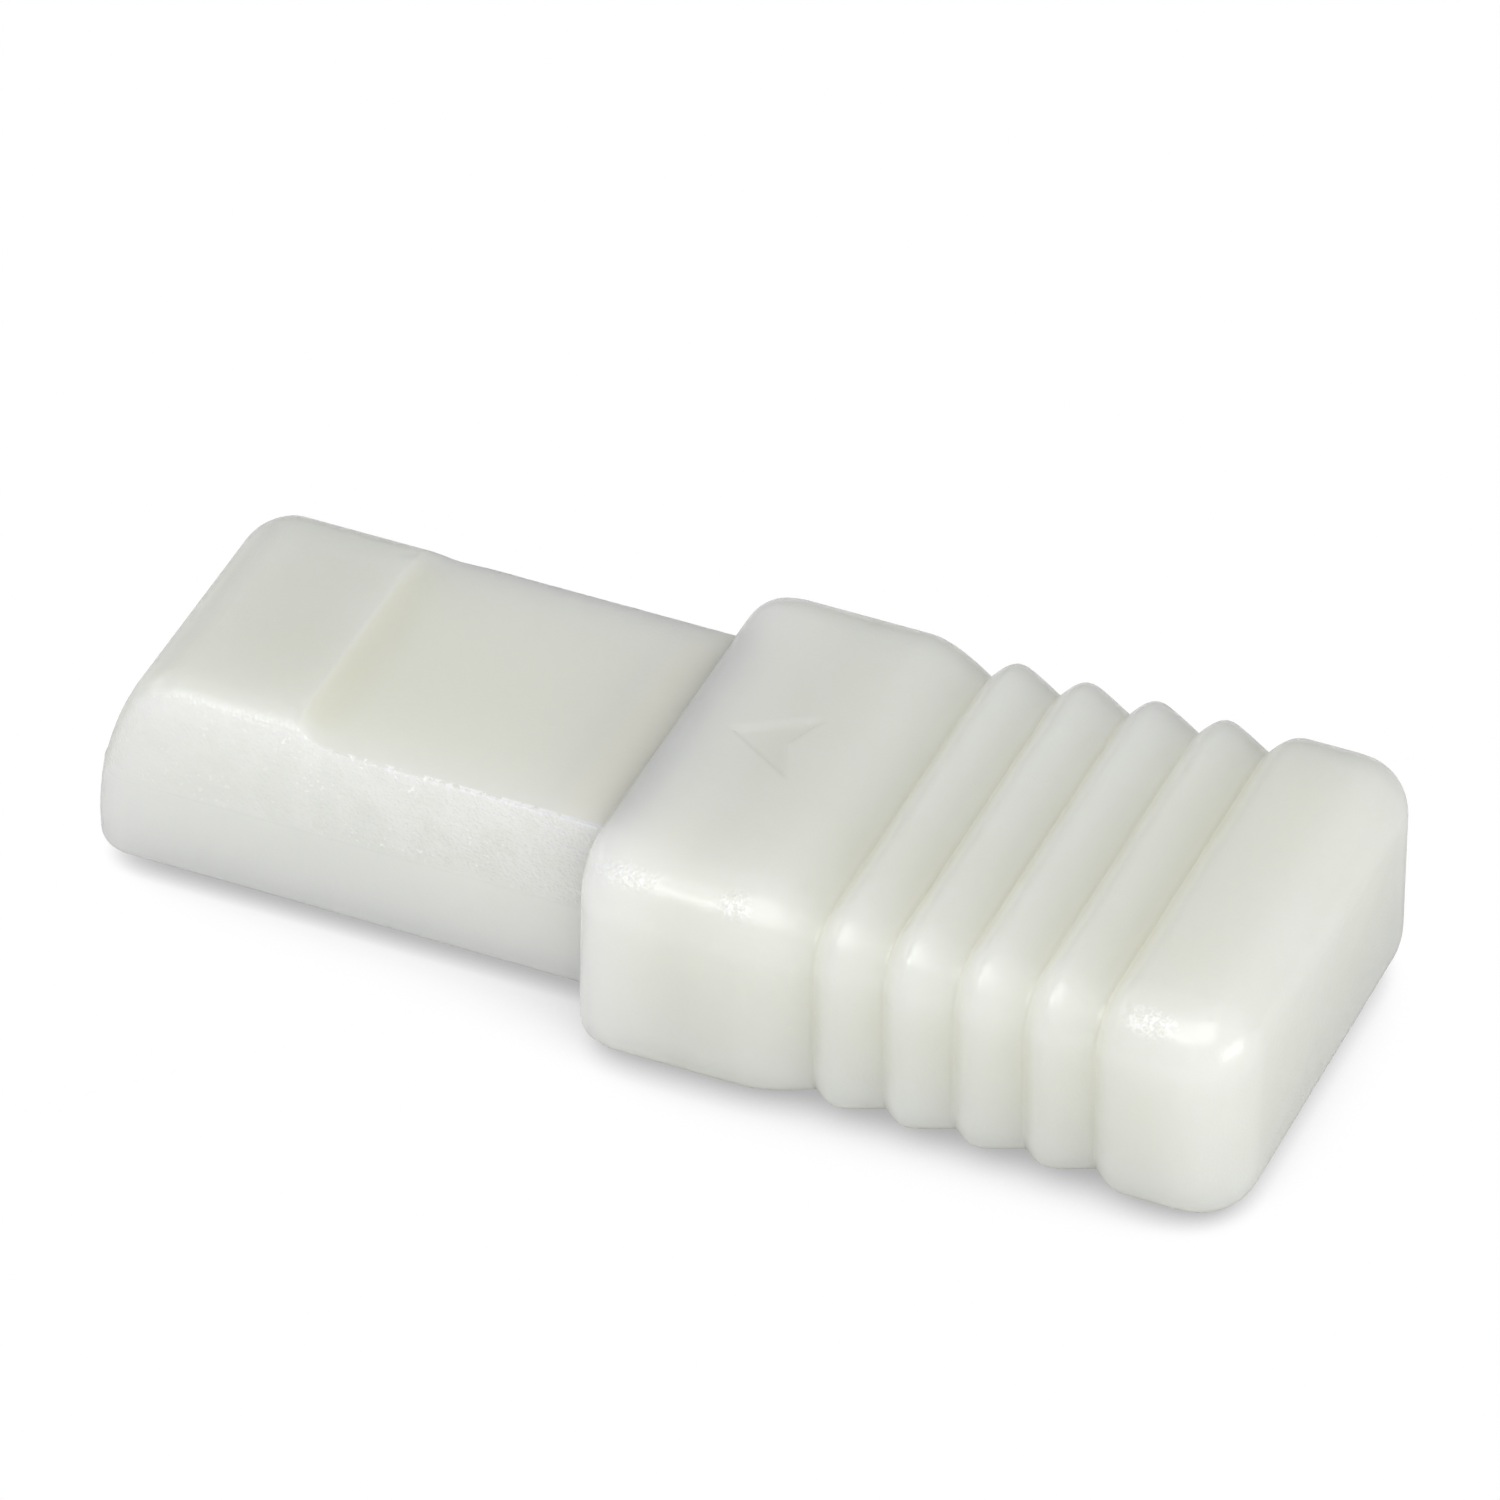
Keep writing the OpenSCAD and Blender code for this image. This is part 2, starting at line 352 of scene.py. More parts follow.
def gripStations():
    s = gripShape
    shoulderX, endX = gripLow[0], gripHigh[0]
    firstX = shoulderX + s["collarLength"]
    lastX = firstX + (s["grooveCount"] - 1) * s["ribPitch"]
    steep = s["steepShare"] * s["ribPitch"]
    turn = 0.25 * steep
    flankRun = (s["ribPitch"] - steep) * s["grooveSide"] / (s["grooveSide"] - s["crestInset"])
    depths = [s["grooveSide"], s["grooveTop"], s["grooveBase"]]

    # corner points of the side, top and base profiles
    knots = [(shoulderX - 1, 0, 0, 0)]
    for back, share in ((1.0, 0.0), (0.66, 0.22), (0.33, 0.58)):
        knots.append((firstX - back * flankRun, *[share * g for g in depths]))
    for k in range(s["grooveCount"] - 1):
        for dx, share in ((0, 1), (steep - turn, 0.2), (steep, 0), (steep + turn, 0.02),
                          (steep + 2 * turn, 0.06), (steep + 0.5 * (s["ribPitch"] - steep), 0.4)):
            x = firstX + k * s["ribPitch"] + dx
            knots.append((x, *[s["crestInset"] + share * (g - s["crestInset"]) for g in depths]))
    plain = [s["endSideInset"], s["endTopInset"], 0]
    knots.append((lastX, *depths))
    knots.append((lastX + steep - turn, *[p + 0.25 * (g - p) for p, g in zip(plain, depths)]))
    knots.append((lastX + steep + turn, *plain))
    knots.append((endX + 1, *plain))
    knots = np.array(knots)
    fine = np.arange(shoulderX - 1, endX + 1, 0.01)
    profiles = []
    for c, deepest in zip((1, 2, 3), depths):
        drawn = np.interp(fine, knots[:, 0], knots[:, c])
        broad = softened(fine, drawn, s["crestSoftness"])
        narrow = softened(fine, drawn, s["grooveSoftness"])
        down = smoothStep(drawn / deepest, 0.45, 0.85)
        profiles.append(np.maximum(broad + (narrow - broad) * softened(fine, down, 0.08), 0))

    # stations are close together where the shape turns
    plainStart = shoulderX + s["shoulderCornerRadius"]
    ribStart, ribEnd = firstX - flankRun - 0.3, lastX + steep + 0.6
    endStart = endX - s["endCornerRadius"]
    shoulder = shoulderX + s["shoulderCornerRadius"] * (1 - np.cos(np.radians(np.linspace(0, 90, 17))))
    end = endX - s["endPillow"] - (s["endCornerRadius"] - s["endPillow"]) * (
        1 - np.cos(np.radians(np.linspace(90, 0, 19))))
    xs = np.concatenate([
        shoulder, np.arange(plainStart + 0.12, ribStart, 0.12), np.arange(ribStart, ribEnd, 0.075),
        np.arange(ribEnd, endStart - 0.05, 0.15), end])
    stations = []
    for x in xs:
        side, top, base = [float(np.interp(x, fine, p)) for p in profiles]
        fromStart, fromEnd = x - shoulderX, endX - s["endPillow"] - x
        side += edgeInset(s["shoulderCornerRadius"], fromStart) + edgeInset(s["endCornerRadius"], fromEnd)
        top += edgeInset(s["shoulderTopRadius"], fromStart) + edgeInset(s["endEdgeRadius"], fromEnd)
        base += edgeInset(s["shoulderBaseRadius"], fromStart) + edgeInset(s["endEdgeRadius"], fromEnd)
        stations.append((x, side, top, base))
    return stations, firstX, flankRun


def gripRing(x, side, top, base):
    halfWidth, z0, z1 = gripHigh[1] - side, base, gripHigh[2] - top
    radius = max(0.6, gripShape["longEdgeRadius"] - (side + (top + base) / 2) / 2)
    points = []
    centres = [(sy * (halfWidth - radius), (z1 - radius) if sz > 0 else (z0 + radius))
               for sy, sz in ((1, 1), (-1, 1), (-1, -1), (1, -1))]
    # between the rounded corners the ring runs along the top, near side, base and far side
    for i, ((cy, cz), count) in enumerate(zip(centres, (100, 28, 60, 28))):
        start = 90 * i
        for a in np.radians(np.linspace(start, start + 90, 15)):
            points.append((x, cy + radius * math.cos(a), cz + radius * math.sin(a)))
        a = math.radians(start + 90)
        here = np.array(points[-1])
        ny, nz = centres[(i + 1) % 4]
        there = np.array((x, ny + radius * math.cos(a), nz + radius * math.sin(a)))
        for t in np.linspace(0, 1, count + 1)[1:-1]:
            points.append(tuple(here + (there - here) * t))
    return points


def arrowDepthAt(x, y, centreX):
    # depth of the sunk arrowhead that points at the tongue, with soft edges
    s = gripShape
    corners = [(centreX - s["arrowLength"] / 2, 0), (centreX + s["arrowLength"] / 2, -s["arrowWidth"] / 2),
               (centreX + s["arrowLength"] / 4, 0), (centreX + s["arrowLength"] / 2, s["arrowWidth"] / 2)]
    inside, nearest = False, 1e9
    for i in range(4):
        (ax, ay), (bx, by) = corners[i], corners[(i + 1) % 4]
        along = (x - ax) * (bx - ax) + (y - ay) * (by - ay)
        t = max(0.0, min(1.0, along / ((bx - ax) ** 2 + (by - ay) ** 2)))
        nearest = min(nearest, math.hypot(x - ax - t * (bx - ax), y - ay - t * (by - ay)))
        if (ay > y) != (by > y) and x < (bx - ax) * (y - ay) / (by - ay) + ax:
            inside = not inside
    signed = nearest if inside else -nearest
    return s["arrowDepth"] * float(smoothStep(signed, -s["arrowSoftness"] / 2, s["arrowSoftness"] / 2))


def buildGrip():
    s = gripShape
    stations, firstX, flankRun = gripStations()
    rings = [gripRing(*station) for station in stations]
    count = len(rings[0])
    arrowX = (gripLow[0] + s["shoulderTopRadius"] + firstX - flankRun) / 2
    verts = []
    for ring in rings:
        for x, y, z in ring:
            nearFace = 1 - float(smoothStep(x, gripLow[0], gripLow[0] + 4))
            x += s["faceLean"] * nearFace * z / gripHigh[2]
            if z > gripHigh[2] - 0.02 and abs(x - arrowX) < s["arrowLength"] and abs(y) < s["arrowWidth"]:
                z -= arrowDepthAt(x, y, arrowX)
            verts.append((x, y, z))
    faces = []
    for k in range(len(rings) - 1):
        for i in range(count):
            a, b = k * count + i, k * count + (i + 1) % count
            faces.append([a, b, b + count, a + count])
    faces.append(list(range(count)))
    # the end face is closed by shrinking rings, slightly domed
    last = np.array(rings[-1])
    centre = np.array([last[0, 0], 0, (last[:, 2].min() + last[:, 2].max()) / 2])
    previous = (len(rings) - 1) * count
    for scale in (0.97, 0.92, 0.85, 0.75, 0.63, 0.5, 0.36, 0.22, 0.1):
        start = len(verts)
        for p in last:
            q = centre + (p - centre) * scale
            verts.append((q[0] + s["endPillow"] * (1 - scale ** 2), q[1], q[2]))
        for i in range(count):
            j = (i + 1) % count
            faces.append([previous + i, previous + j, start + j, start + i])
        previous = start
    faces.append([previous + i for i in range(count)])
    return newMesh("ribbedGrip", verts, faces)


grip = buildGrip()
cutAway(grip, pocket)
print("grip built", len(grip.data.polygons), "faces")

finishMesh(tongue, 35)
finishMesh(grip, 40)


# shader groups that both materials use
def startGroup(name, inputs, outputs):
    group = bpy.data.node_groups.new(name, "ShaderNodeTree")
    for label, kind, value in inputs:
        socket = group.interface.new_socket(label, in_out="INPUT", socket_type=kind)
        socket.default_value = value
    for label, kind in outputs:
        group.interface.new_socket(label, in_out="OUTPUT", socket_type=kind)
    return group, group.nodes.new("NodeGroupInput"), group.nodes.new("NodeGroupOutput")


def addNode(tree, kind, settings=None, **inputs):
    node = tree.nodes.new(kind)
    for key, value in (settings or {}).items():
        setattr(node, key, value)
    for key, value in inputs.items():
        name = key.replace("_", " ")
        socket = node.inputs[int(key[1:])] if key[0] == "i" and key[1:].isdigit() else node.inputs[name]
        if isinstance(value, bpy.types.NodeSocket):
            tree.links.new(value, socket)
        else:
            socket.default_value = value
    return node


def mathNode(tree, operation, a, b=0.5, clamp=False):
    node = addNode(tree, "ShaderNodeMath", {"operation": operation, "use_clamp": clamp}, i0=a, i1=b)
    return node.outputs[0]


def ramp(tree, value, low, high, start=0.0, end=1.0):
    node = addNode(tree, "ShaderNodeMapRange", {"interpolation_type": "SMOOTHSTEP"},
                   Value=value, From_Min=low, From_Max=high, To_Min=start, To_Max=end)
    return node.outputs[0]


# fine eroded mould grain: little facets that catch the light
def buildSparkGrain():
    group, into, out = startGroup("sparkGrain", [
        ("Scale", "NodeSocketFloat", 9000.0), ("Roundness", "NodeSocketFloat", 0.5)],
        [("Height", "NodeSocketFloat"), ("GlintSpeck", "NodeSocketFloat")])
    place = addNode(group, "ShaderNodeTexCoord").outputs["Object"]
    cells = addNode(group, "ShaderNodeTexVoronoi", {"feature": "SMOOTH_F1"}, Vector=place,
                    Scale=into.outputs["Scale"], Smoothness=into.outputs["Roundness"])
    grain = addNode(group, "ShaderNodeTexNoise", None, Vector=place, Detail=2.0, Roughness=0.6)
    group.links.new(into.outputs["Scale"], grain.inputs["Scale"])
    both = mathNode(group, "ADD", cells.outputs["Distance"], grain.outputs[0])
    group.links.new(both, out.inputs["Height"])
    # GlintSpeck: small clustered dots, which the tongue's material paints white as glints
    glintDots = addNode(group, "ShaderNodeTexNoise", None, Vector=place, Detail=1.0)
    group.links.new(mathNode(group, "MULTIPLY", into.outputs["Scale"], 0.6), glintDots.inputs["Scale"])
    crowds = addNode(group, "ShaderNodeTexNoise", None, Vector=place, Detail=2.0)
    group.links.new(mathNode(group, "MULTIPLY", into.outputs["Scale"], 0.12), crowds.inputs["Scale"])
    group.links.new(mathNode(group, "MULTIPLY", ramp(group, glintDots.outputs[0], 0.63, 0.69),
                             ramp(group, crowds.outputs[0], 0.4, 0.62)), out.inputs["GlintSpeck"])
    return group


# slow drift of tone through the milky polymer
def buildMilkyTone():
    group, into, out = startGroup("milkyTone", [
        ("Light", "NodeSocketColor", (0.8, 0.8, 0.76, 1)),
        ("Warm", "NodeSocketColor", (0.76, 0.76, 0.68, 1)),
        ("Scale", "NodeSocketFloat", 120.0), ("Cloudiness", "NodeSocketFloat", 0.5)],
        [("Color", "NodeSocketColor")])
    place = addNode(group, "ShaderNodeTexCoord").outputs["Object"]
    drift = addNode(group, "ShaderNodeTexNoise", None, Vector=place, Scale=into.outputs["Scale"],
                    Detail=4.0, Roughness=0.55, Distortion=0.4)
    amount = mathNode(group, "MULTIPLY", ramp(group, drift.outputs[0], 0.25, 0.75),
                      into.outputs["Cloudiness"])
    mix = addNode(group, "ShaderNodeMix", {"data_type": "RGBA"}, i0=amount)
    group.links.new(into.outputs["Light"], mix.inputs[6])
    group.links.new(into.outputs["Warm"], mix.inputs[7])
    group.links.new(mix.outputs[2], out.inputs["Color"])
    return group


# uneven gloss, with a soft waviness left by the mould
def buildMouldFinish():
    group, into, out = startGroup("mouldFinish", [
        ("Roughness", "NodeSocketFloat", 0.4), ("Variation", "NodeSocketFloat", 0.1),
        ("Scale", "NodeSocketFloat", 400.0)],
        [("Roughness", "NodeSocketFloat"), ("Wave", "NodeSocketFloat")])
    place = addNode(group, "ShaderNodeTexCoord").outputs["Object"]
    patches = addNode(group, "ShaderNodeTexNoise", None, Vector=place, Scale=into.outputs["Scale"],
                      Detail=5.0, Roughness=0.6)
    offset = mathNode(group, "SUBTRACT", patches.outputs[0], 0.5)
    offset = mathNode(group, "MULTIPLY", offset, into.outputs["Variation"])
    total = mathNode(group, "ADD", into.outputs["Roughness"], offset, clamp=True)
    group.links.new(total, out.inputs["Roughness"])
    group.links.new(patches.outputs[0], out.inputs["Wave"])
    return group


sparkGrain = buildSparkGrain()
milkyTone = buildMilkyTone()
mouldFinish = buildMouldFinish()


def useGroup(tree, group, **inputs):
    node = tree.nodes.new("ShaderNodeGroup")
    node.node_tree = group
    for key, value in inputs.items():
        if isinstance(value, bpy.types.NodeSocket):
            tree.links.new(value, node.inputs[key])
        else:
            node.inputs[key].default_value = value
    return node


def startMaterial(name):
    material = bpy.data.materials.new(name)
    material.use_nodes = True
    tree = material.node_tree
    tree.nodes.clear()
    out = tree.nodes.new("ShaderNodeOutputMaterial")
    shader = tree.nodes.new("ShaderNodeBsdfPrincipled")
    tree.links.new(shader.outputs[0], out.inputs["Surface"])
    return material, tree, shader


def setMilky(shader, values):
    shader.inputs["Subsurface Weight"].default_value = values["glow"]
    shader.inputs["Subsurface Radius"].default_value = values["glowColours"]
    shader.inputs["Subsurface Scale"].default_value = values["glowDepth"] * mm
    shader.inputs["IOR"].default_value = values["ior"]
    shader.subsurface_method = "RANDOM_WALK"


def ovalMask(tree, place, centre, size):
    # 1 at the centre of an oval, falling off smoothly to its edge
    shift = addNode(tree, "ShaderNodeVectorMath", {"operation": "SUBTRACT"}, i0=place, i1=centre)
    scaled = addNode(tree, "ShaderNodeVectorMath", {"operation": "DIVIDE"}, i0=shift.outputs[0], i1=size)
    reach = addNode(tree, "ShaderNodeVectorMath", {"operation": "LENGTH"}, i0=scaled.outputs[0])
    return ramp(tree, reach.outputs["Value"], 1.0, 0.0)


def strongest(tree, masks):
    total = masks[0]
    for mask in masks[1:]:
        total = mathNode(tree, "MAXIMUM", total, mask)
    return total


def tinted(tree, below, tint, amount):
    mix = addNode(tree, "ShaderNodeMix", {"data_type": "RGBA"}, i0=amount)
    tree.links.new(below, mix.inputs[6])
    mix.inputs[7].default_value = tint
    return mix.outputs[2]


def setSurface(tree, shader, look, spark, glossy, grainy):
    # gloss and fine relief: glossy and grainy are masks of the polished and the sparkling places
    surface = useGroup(tree, mouldFinish, Roughness=look["satinRoughness"],
                       Variation=look["finishVariation"], Scale=look["finishScale"])
    rough = addNode(tree, "ShaderNodeMix", {"data_type": "FLOAT"}, i0=glossy)
    tree.links.new(surface.outputs["Roughness"], rough.inputs[2])
    rough.inputs[3].default_value = look["glossyRoughness"]
    tree.links.new(rough.outputs[0], shader.inputs["Roughness"])

    strength = mathNode(tree, "ADD", mathNode(tree, "MULTIPLY", grainy, look["sparkleGrain"]),
                        look["plainGrain"])
    height = mathNode(tree, "MULTIPLY", spark.outputs["Height"], strength)
    height = mathNode(tree, "ADD", height, mathNode(tree, "MULTIPLY", surface.outputs["Wave"], 0.5))
    bump = addNode(tree, "ShaderNodeBump", None, Strength=1.0, Distance=look["grainHeight"] * mm,
                   Height=height)
    tree.links.new(bump.outputs[0], shader.inputs["Normal"])


# material of the tongue: satin below the parting line, sparkling above it with grain and painted glints
tongueLook = {
    "light": (0.7, 0.713, 0.665, 1),
    "warm": (0.685, 0.693, 0.615, 1),
    "paintedCollarLight": (0.92, 0.915, 0.845, 1),
    # painted light: the flanks lighter than the top
    "flank": (0.825, 0.835, 0.795, 1),
    "floor": (0.755, 0.765, 0.695, 1),   # recess floor
    "step": (0.7, 0.698, 0.605, 1),      # painted shade: browner tone at the foot of the step
    "creaseShadeTone": (0.95, 0.91, 0.75, 1),     # painted shade: warm tone beside the collar
    "paintedSparkle": (0.98, 0.98, 0.945, 1),      # painted glints and sheen: specks and blotches on the flank, highlight dashes on the recess edge
    "collarReach": 9.0,          # how far the painted light reaches from the collar, in millimetres
    "creaseReach": 2.2,
    "stepReach": 1.8,
    "sparkleStart": 1.0,         # where the sparkle begins behind the tip
    "sparkleFull": 2.0,          # and is full, before the collar
    "cloudScale": 170.0,
    "cloudiness": 0.55,
    "glow": 1.0,
    "glowColours": (1.0, 0.96, 0.9),
    "glowDepth": 8.0,            # in millimetres
    "ior": 1.54,
    "satinRoughness": 0.25,
    "glossyRoughness": 0.17,
    "finishVariation": 0.06,
    "finishScale": 700.0,
    "grainScale": 8000.0,
    "grainRoundness": 0.35,
    "sparkleGrain": 1.4,         # strength of the sparkling grain on the upper flank
    "plainGrain": 0.1,
    "grainHeight": 0.03,         # in millimetres
    "paintedSheen": 0.3,                # how far the upper flank is painted whiter in blotches, as a painted sheen
    "frostScale": 850.0,
    "dashScale": 3600.0,         # painted highlight in broken bright dashes along the recess edge
}


def tongueMaterial():
    v, s = tongueLook, tongueShape
    material, tree, shader = startMaterial("milkyTonguePolymer")
    setMilky(shader, v)
    coords = addNode(tree, "ShaderNodeTexCoord")
    place = coords.outputs["Object"]
    x, y, z = addNode(tree, "ShaderNodeSeparateXYZ", None, Vector=place).outputs
    width = mathNode(tree, "ABSOLUTE", y, 0)
    facing = addNode(tree, "ShaderNodeSeparateXYZ", None, Vector=coords.outputs["Normal"]).outputs[1]
    footX, collarX = (tongueLow[0] + s["padLength"]) * mm, gripLow[0] * mm
    floorZ = (tongueHigh[2] - s["recessDepth"]) * mm
    partingZ = (tongueLow[2] + s["partingHeight"]) * mm
    halfWidth = tongueHigh[1] * mm

    # masks: the two flanks, their sparkling upper part, the recess floor and its two ends
    sideways = ramp(tree, mathNode(tree, "ABSOLUTE", facing, 0), 0.45, 0.8)
    above = ramp(tree, z, partingZ - 0.02 * mm, partingZ + 0.12 * mm)
    towardCollar = ramp(tree, x, (tongueLow[0] + v["sparkleStart"]) * mm,
                        collarX - v["sparkleFull"] * mm, 0.25, 1.0)
    flank = mathNode(tree, "MULTIPLY", mathNode(tree, "MULTIPLY", above, sideways), towardCollar)
    upward = mathNode(tree, "SUBTRACT", 1.0, sideways)
    onFloor = mathNode(tree, "MULTIPLY", upward, ramp(tree, z, floorZ - 0.9 * mm, floorZ - 0.1 * mm))
    behindStep = ramp(tree, x, footX - 0.1 * mm, footX + 0.1 * mm)
    paintedStepShade = ramp(tree, x, footX + v["stepReach"] * mm, footX - 0.3 * mm, 0.0, 0.75)
    paintedStepShade = mathNode(tree, "MULTIPLY", mathNode(tree, "MULTIPLY", paintedStepShade, behindStep),
                      ramp(tree, width, halfWidth - 0.49 * mm, halfWidth - 1.49 * mm))
    paintedCollarShade = mathNode(tree, "MULTIPLY",
                        ramp(tree, x, collarX - v["creaseReach"] * mm, collarX + 0.2 * mm), onFloor)

    # painted light: lighter flanks and lighter towards the collar; warm on the recess floor; painted
    # shade: browner at its two ends
    tone = useGroup(tree, milkyTone, Light=v["light"], Warm=v["warm"], Scale=v["cloudScale"],
                    Cloudiness=v["cloudiness"])
    colour = tinted(tree, tone.outputs["Color"], v["flank"], mathNode(tree, "MULTIPLY", sideways, 0.8))
    colour = tinted(tree, colour, v["paintedCollarLight"], ramp(tree, x, collarX - v["collarReach"] * mm, collarX))
    colour = tinted(tree, colour, v["floor"], mathNode(tree, "MULTIPLY", onFloor, behindStep))
    colour = tinted(tree, colour, v["step"], paintedStepShade)
    colour = tinted(tree, colour, v["creaseShadeTone"], paintedCollarShade)

    # painted glints and sheen: white specks and whiter blotches on the sparkling upper flank, and a
    # painted highlight in broken dashes along the crisp recess edge
    spark = useGroup(tree, sparkGrain, Scale=v["grainScale"], Roundness=v["grainRoundness"])
    blotches = addNode(tree, "ShaderNodeTexNoise", None, Vector=place, Scale=v["frostScale"],
                       Detail=3.0).outputs[0]
    paintedSheen = mathNode(tree, "MULTIPLY", flank, ramp(tree, blotches, 0.38, 0.68))
    paintedSheen = mathNode(tree, "MULTIPLY", paintedSheen, v["paintedSheen"])
    glintDots = mathNode(tree, "MULTIPLY", spark.outputs["GlintSpeck"], flank)
    edgeY = halfWidth - (s["partingBead"] + s["flankDraft"]) * mm
    arris = mathNode(tree, "MULTIPLY", ramp(tree, width, edgeY - 0.19 * mm, edgeY - 0.08 * mm),
                     ramp(tree, z, floorZ - 0.19 * mm, floorZ - 0.08 * mm))
    arris = mathNode(tree, "MULTIPLY", arris, ramp(tree, x, footX + 1.0 * mm, footX + 2.0 * mm))
    beads = addNode(tree, "ShaderNodeTexNoise", None, Vector=place, Scale=v["dashScale"],
                    Detail=2.0).outputs[0]
    beads = mathNode(tree, "ADD", beads, ramp(tree, x, footX + 2.0 * mm, collarX, -0.04, 0.12))
    paintedEdgeHighlight = mathNode(tree, "MULTIPLY", arris, ramp(tree, beads, 0.46, 0.6))
    colour = tinted(tree, colour, v["paintedSparkle"], strongest(tree, [paintedSheen, glintDots, paintedEdgeHighlight]))
    tree.links.new(colour, shader.inputs["Base Color"])
    setSurface(tree, shader, v, spark, mathNode(tree, "MAXIMUM", flank, arris), flank)
    return material


# material of the grip: satin rubber-like polymer with a few polished spots, where glints are painted
gripLook = {
    "light": (0.745, 0.757, 0.705, 1),
    "warm": (0.72, 0.73, 0.645, 1),
    "creaseShadeTone": (0.8, 0.795, 0.71, 1),     # painted shade tone: warmer and a little lighter down in the grooves
    "creaseReach": 1.6,          # in millimetres
    "grooveShadowLine": (0.6, 0.58, 0.47, 1),  # painted shadow: thin darker line at the very bottom
    "lineReach": 0.35,
    "paintedSeatLight": (0.975, 0.965, 0.85, 1),
    "seatReach": 4.5,            # how far the painted light reaches from the collar face
    # painted glints in the polished spots
    "paintedGlintTone": (0.98, 0.975, 0.935, 1),
    "glintNoiseScale": 5200.0,
    "cloudScale": 110.0,
    "cloudiness": 0.6,
    "glow": 1.0,
    "glowColours": (1.0, 0.96, 0.9),
    "glowDepth": 10.0,
    "ior": 1.54,
    "satinRoughness": 0.25,
    "glossyRoughness": 0.15,
    "finishVariation": 0.06,
    "finishScale": 500.0,
    "grainScale": 8000.0,
    "grainRoundness": 0.4,
    "sparkleGrain": 0.9,
    "plainGrain": 0.08,
    "grainHeight": 0.03,
    # polished spots on the two long top edges: x and reach along x, in millimetres
    "spots": ((-0.8, 2.2), (3.4, 0.8), (18.1, 1.3)),
    "spotWidth": 0.7,
}


def gripMaterial():
    v = gripLook
    material, tree, shader = startMaterial("milkyGripPolymer")
    setMilky(shader, v)
    place = addNode(tree, "ShaderNodeTexCoord").outputs["Object"]

    # the spots lie on the rounded edges, a little way in from the side and the top
    inset = gripShape["longEdgeRadius"] * 0.4
    spotY, spotZ = gripHigh[1] - inset, gripHigh[2] - inset * 0.6
    polished = strongest(tree, [
        ovalMask(tree, place, (x * mm, side * spotY * mm, spotZ * mm),
                 (reach * mm, v["spotWidth"] * mm, v["spotWidth"] * mm))
        for x, reach in v["spots"] for side in (-1, 1)])

    tone = useGroup(tree, milkyTone, Light=v["light"], Warm=v["warm"], Scale=v["cloudScale"],
                    Cloudiness=v["cloudiness"])
    colour = tone.outputs["Color"]
    # painted shade, placed by ambient occlusion: a warm tone in the grooves and a darker line at their
    # bottom
    for tint, reach, edge in ((v["creaseShadeTone"], v["creaseReach"], 0.95),
                              (v["grooveShadowLine"], v["lineReach"], 0.9)):
        hollow = addNode(tree, "ShaderNodeAmbientOcclusion", {"samples": 12}, Distance=reach * mm)
        colour = tinted(tree, colour, tint, ramp(tree, hollow.outputs["AO"], edge, edge - 0.5))
    # painted light: lighter near the collar face
    seatX = gripLow[0] * mm
    along = addNode(tree, "ShaderNodeSeparateXYZ", None, Vector=place).outputs[0]
    colour = tinted(tree, colour, v["paintedSeatLight"], ramp(tree, along, seatX + v["seatReach"] * mm, seatX))
    # painted glints: white flecks in the polished spots
    glintNoise = addNode(tree, "ShaderNodeTexNoise", None, Vector=place, Scale=v["glintNoiseScale"],
                     Detail=2.0).outputs[0]
    paintedGlintMask = mathNode(tree, "MULTIPLY", ramp(tree, glintNoise, 0.46, 0.62), polished)
    tree.links.new(tinted(tree, colour, v["paintedGlintTone"], paintedGlintMask), shader.inputs["Base Color"])

    spark = useGroup(tree, sparkGrain, Scale=v["grainScale"], Roundness=v["grainRoundness"])
    setSurface(tree, shader, v, spark, polished, polished)
    return material


for piece, node, material, slot in ((tongue, "tongue", tongueMaterial(), "tongue_polymer"),
                                    (grip, "ribbed_grip", gripMaterial(), "grip_polymer")):
    piece.data.materials.clear()
    piece.data.materials.append(material)
    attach(piece, "root")
    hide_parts(node)
print("materials and riding done")


# floor, light and camera
studio = {
    "worldFront": 0.37,          # soft light from the camera side and from behind
    "worldBack": 0.27,
    "floorSize": 3.0,
    "floorGap": 0.00003,         # keeps the floor clear of the flat base
    "floorColour": (0.8, 0.8, 0.8, 1),
    "shadowReach": 0.017,        # how far the soft shadow reaches from the object
    "shadowDark": 0.42,          # its darkest level
    "shadowFrom": 0.1,           # openness at which it is darkest
    "shadowTo": 0.56,            # and at which it ends
    # direction from the object, distance, width and height, and power of each lamp
    "lamps": (
        ("keySoftbox", (0.1, -0.43, 0.89), 0.6, (0.52, 0.44), 2.01),
        ("stripFlash", (-0.31, -0.58, 0.74), 0.6, (0.2, 0.03), 0.32),
        ("rightFill", (0.95, -0.22, 0.2), 0.6, (0.4, 0.2), 1.15),
        ("leftFill", (-0.88, 0.0, 0.45), 0.6, (0.4, 0.25), 0.4),
    ),
}


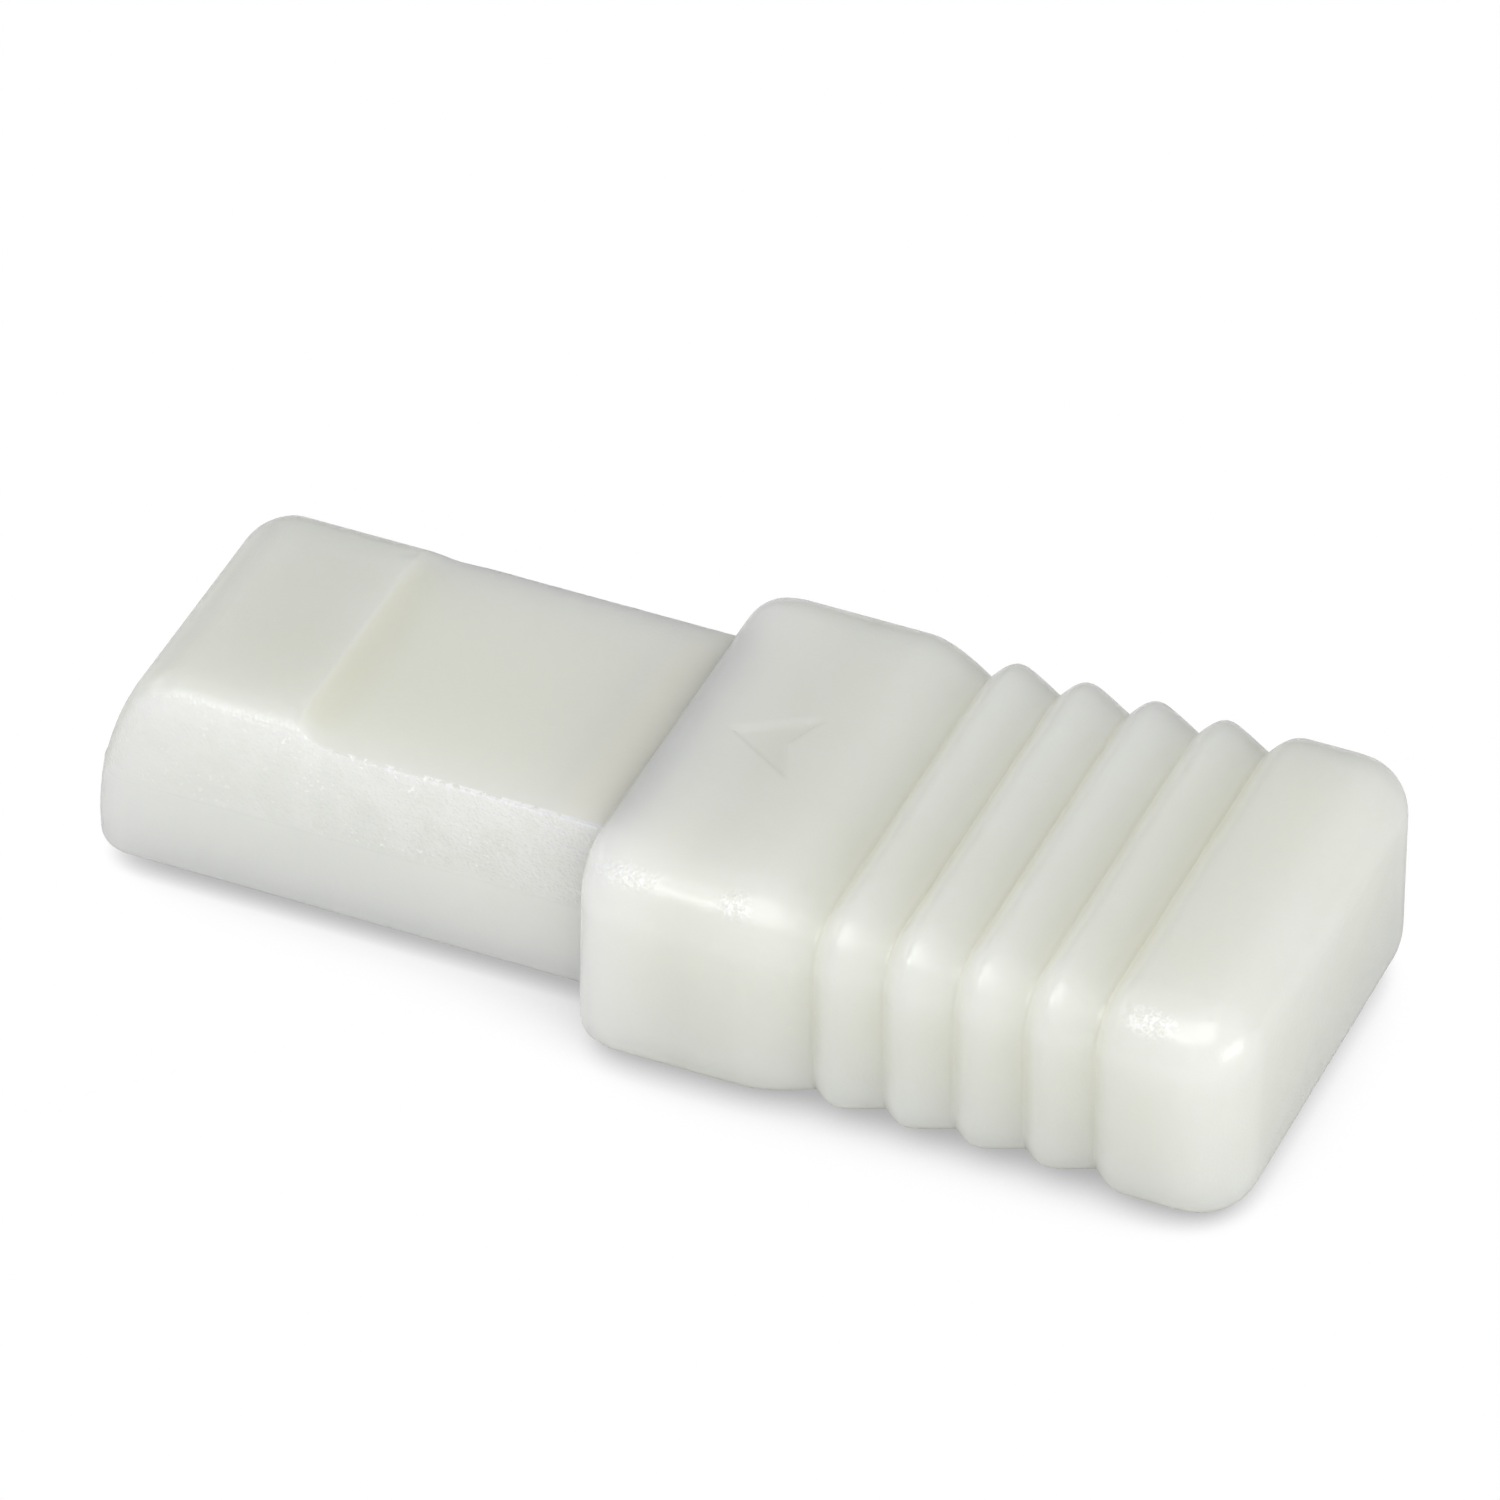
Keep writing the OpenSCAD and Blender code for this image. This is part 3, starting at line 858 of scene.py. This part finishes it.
def buildFloor():
    half = studio["floorSize"] / 2
    low = -studio["floorGap"]
    corners = [(-half, -half, low), (half, -half, low), (half, half, low), (-half, half, low)]
    floor = newMesh("studioFloor", corners, [[0, 1, 2, 3]])
    material = bpy.data.materials.new("studioFloor")
    material.use_nodes = True
    tree = material.node_tree
    tree.nodes.clear()
    out = tree.nodes.new("ShaderNodeOutputMaterial")
    plain = addNode(tree, "ShaderNodeBsdfDiffuse", None, Color=studio["floorColour"])
    # to the camera the floor glows white, with the object's shadow painted in by ambient occlusion
    closeness = addNode(tree, "ShaderNodeAmbientOcclusion", {"samples": 24},
                        Distance=studio["shadowReach"])
    level = addNode(tree, "ShaderNodeMapRange", None, Value=closeness.outputs["AO"],
                    From_Min=studio["shadowFrom"], From_Max=studio["shadowTo"],
                    To_Min=studio["shadowDark"], To_Max=1.0).outputs[0]
    shown = addNode(tree, "ShaderNodeEmission", None, Color=(1, 1, 1, 1), Strength=level)
    seen = addNode(tree, "ShaderNodeLightPath").outputs["Is Camera Ray"]
    mix = addNode(tree, "ShaderNodeMixShader", None, i0=seen)
    tree.links.new(plain.outputs[0], mix.inputs[1])
    tree.links.new(shown.outputs[0], mix.inputs[2])
    # the floor can be looked through from underneath
    below = addNode(tree, "ShaderNodeNewGeometry").outputs["Backfacing"]
    clear = addNode(tree, "ShaderNodeBsdfTransparent")
    both = addNode(tree, "ShaderNodeMixShader", None, i0=mathNode(tree, "MULTIPLY", below, seen))
    tree.links.new(mix.outputs[0], both.inputs[1])
    tree.links.new(clear.outputs[0], both.inputs[2])
    tree.links.new(both.outputs[0], out.inputs["Surface"])
    floor.data.materials.append(material)


def buildWorld():
    world = bpy.data.worlds.new("studioWorld")
    bpy.context.scene.world = world
    world.use_nodes = True
    tree = world.node_tree
    tree.nodes.clear()
    out = tree.nodes.new("ShaderNodeOutputWorld")
    seen = addNode(tree, "ShaderNodeLightPath").outputs["Is Camera Ray"]
    heading = addNode(tree, "ShaderNodeSeparateXYZ", None,
                      Vector=addNode(tree, "ShaderNodeTexCoord").outputs["Generated"]).outputs[1]
    level = ramp(tree, heading, -0.6, 0.7, studio["worldFront"], studio["worldBack"])
    soft = addNode(tree, "ShaderNodeBackground", None, Color=(1, 1, 1, 1), Strength=level)
    white = addNode(tree, "ShaderNodeBackground", None, Color=(1, 1, 1, 1), Strength=1.0)
    mix = addNode(tree, "ShaderNodeMixShader", None, i0=seen)
    tree.links.new(soft.outputs[0], mix.inputs[1])
    tree.links.new(white.outputs[0], mix.inputs[2])
    tree.links.new(mix.outputs[0], out.inputs["Surface"])


def addLamp(name, direction, distance, size, power):
    lamp = bpy.data.lights.new(name, "AREA")
    lamp.shape = "RECTANGLE"
    lamp.size, lamp.size_y = size
    lamp.energy = power
    holder = bpy.data.objects.new(name, lamp)
    aim = Vector(direction).normalized()
    holder.location = aim * distance
    holder.rotation_euler = aim.to_track_quat("Z", "Y").to_euler()
    bpy.context.scene.collection.objects.link(holder)


cameraPlace = {
    "azimuth": 23.53,            # turned towards the grip end from straight on
    "elevation": 39.29,
    "distance": 0.3992,
    "target": (0.00052, 0.0, 0.00796),
    "lens": 288.0,
}


def buildCamera():
    c = cameraPlace
    camera = bpy.data.cameras.new("productCamera")
    camera.lens = c["lens"]
    camera.sensor_width = 36
    camera.clip_start = 0.01
    camera.clip_end = 20
    holder = bpy.data.objects.new("productCamera", camera)
    a, e = math.radians(c["azimuth"]), math.radians(c["elevation"])
    away = Vector((math.sin(a) * math.cos(e), -math.cos(a) * math.cos(e), math.sin(e)))
    holder.location = Vector(c["target"]) + away * c["distance"]
    holder.rotation_euler = away.to_track_quat("Z", "Y").to_euler()
    bpy.context.scene.collection.objects.link(holder)
    bpy.context.scene.camera = holder


buildFloor()
buildWorld()
for lamp in studio["lamps"]:
    addLamp(*lamp)
buildCamera()
bpy.context.scene.view_settings.view_transform = "Standard"
print("studio ready")
